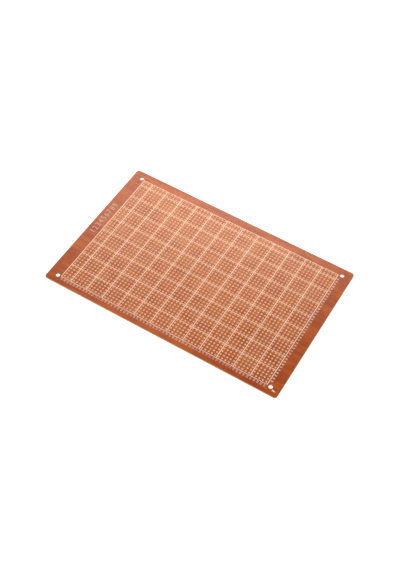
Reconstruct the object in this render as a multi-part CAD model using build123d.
from build123d import *
import os

# A single-sided prototype board: one sheet of punched phenolic-paper laminate with a grid of white
# lines printed on its upper face. Lengths in millimetres. The origin is the middle of the underside,
# X runs along the length, Y across the width and Z up through the sheet.

# Sheet
board_length = 180.0
board_width = 120.0
board_thickness = 1.2
corner_radius = 2.0

# Fixing holes, one near each corner, for M3 screws
fixing_hole_diameter = 3.2
fixing_hole_from_end = 7.0
fixing_hole_from_side = 6.0

# Lead holes: a square grid, whose middle lies a little off the middle of the sheet
hole_pitch = 2.54
hole_columns = 63
hole_rows = 42
lead_hole_diameter = 1.0
lead_hole_side_count = 12
field_offset_x = 0.1
field_offset_y = -0.15

# Printed grid: lines across the sheet, and thinner ones along it. The artwork is larger than the
# punched pattern by artwork_scale and is printed print_offset_y off the middle of the holes, so the
# lines run nearly midway between the holes.
cross_line_width = 0.5
long_line_width = 0.4
ink_thickness = 0.03
artwork_scale = 1.0035
print_offset_y = -0.2
holes_between_lines = 5
holes_in_end_band = 3


def spread(index, count, pitch, middle):
    """Place in an evenly spaced row about its middle, counted in pitches from the row's start."""
    return middle + (index - count / 2) * pitch


def middle_holes(lines):
    """Index of the hole in the middle of each band between two neighbouring lines."""
    return [(start + end) // 2 for start, end in zip(lines, lines[1:])]


# The lines, by the number of holes before them. The first band along X is the narrow one, and the
# last band along Y is what the rows leave over.
cross_lines = [0, *range(holes_in_end_band, hole_columns, holes_between_lines), hole_columns]
long_lines = [*range(0, hole_rows, holes_between_lines), hole_rows]


def laminate_board():
    """The sheet, with its fixing holes and the middle lead hole of each printed square."""
    lead_holes = [
        (
            spread(column + 0.5, hole_columns, hole_pitch, field_offset_x),
            spread(row + 0.5, hole_rows, hole_pitch, field_offset_y),
        )
        for column in middle_holes(cross_lines)
        for row in middle_holes(long_lines)
    ]
    fixing_pitch_x = board_length - 2 * fixing_hole_from_end
    fixing_pitch_y = board_width - 2 * fixing_hole_from_side
    with BuildPart() as sheet:
        with BuildSketch():
            RectangleRounded(board_length, board_width, corner_radius)
            with GridLocations(fixing_pitch_x, fixing_pitch_y, 2, 2):
                Circle(fixing_hole_diameter / 2, mode=Mode.SUBTRACT)
            with Locations(*lead_holes):
                RegularPolygon(lead_hole_diameter / 2, lead_hole_side_count, mode=Mode.SUBTRACT)
        extrude(amount=board_thickness)
    return sheet.part


def grid_print():
    """The white ink: crossing lines that run between the holes, seated on the upper face."""
    print_pitch = hole_pitch * artwork_scale
    frame_length = hole_columns * print_pitch + cross_line_width
    frame_width = hole_rows * print_pitch + long_line_width
    print_middle_y = field_offset_y + print_offset_y
    cross_places = [
        (spread(line, hole_columns, print_pitch, field_offset_x), print_middle_y)
        for line in cross_lines
    ]
    long_places = [
        (field_offset_x, spread(line, hole_rows, print_pitch, print_middle_y))
        for line in long_lines
    ]
    with BuildPart() as ink:
        with BuildSketch(Plane.XY.offset(board_thickness)):
            with Locations(*cross_places):
                Rectangle(cross_line_width, frame_width)
            with Locations(*long_places):
                Rectangle(frame_length, long_line_width)
        extrude(amount=ink_thickness)
    return ink.part


os.makedirs("parts", exist_ok=True)
export_step(laminate_board(), "parts/laminate_board.step")
export_step(grid_print(), "parts/grid_print.step")
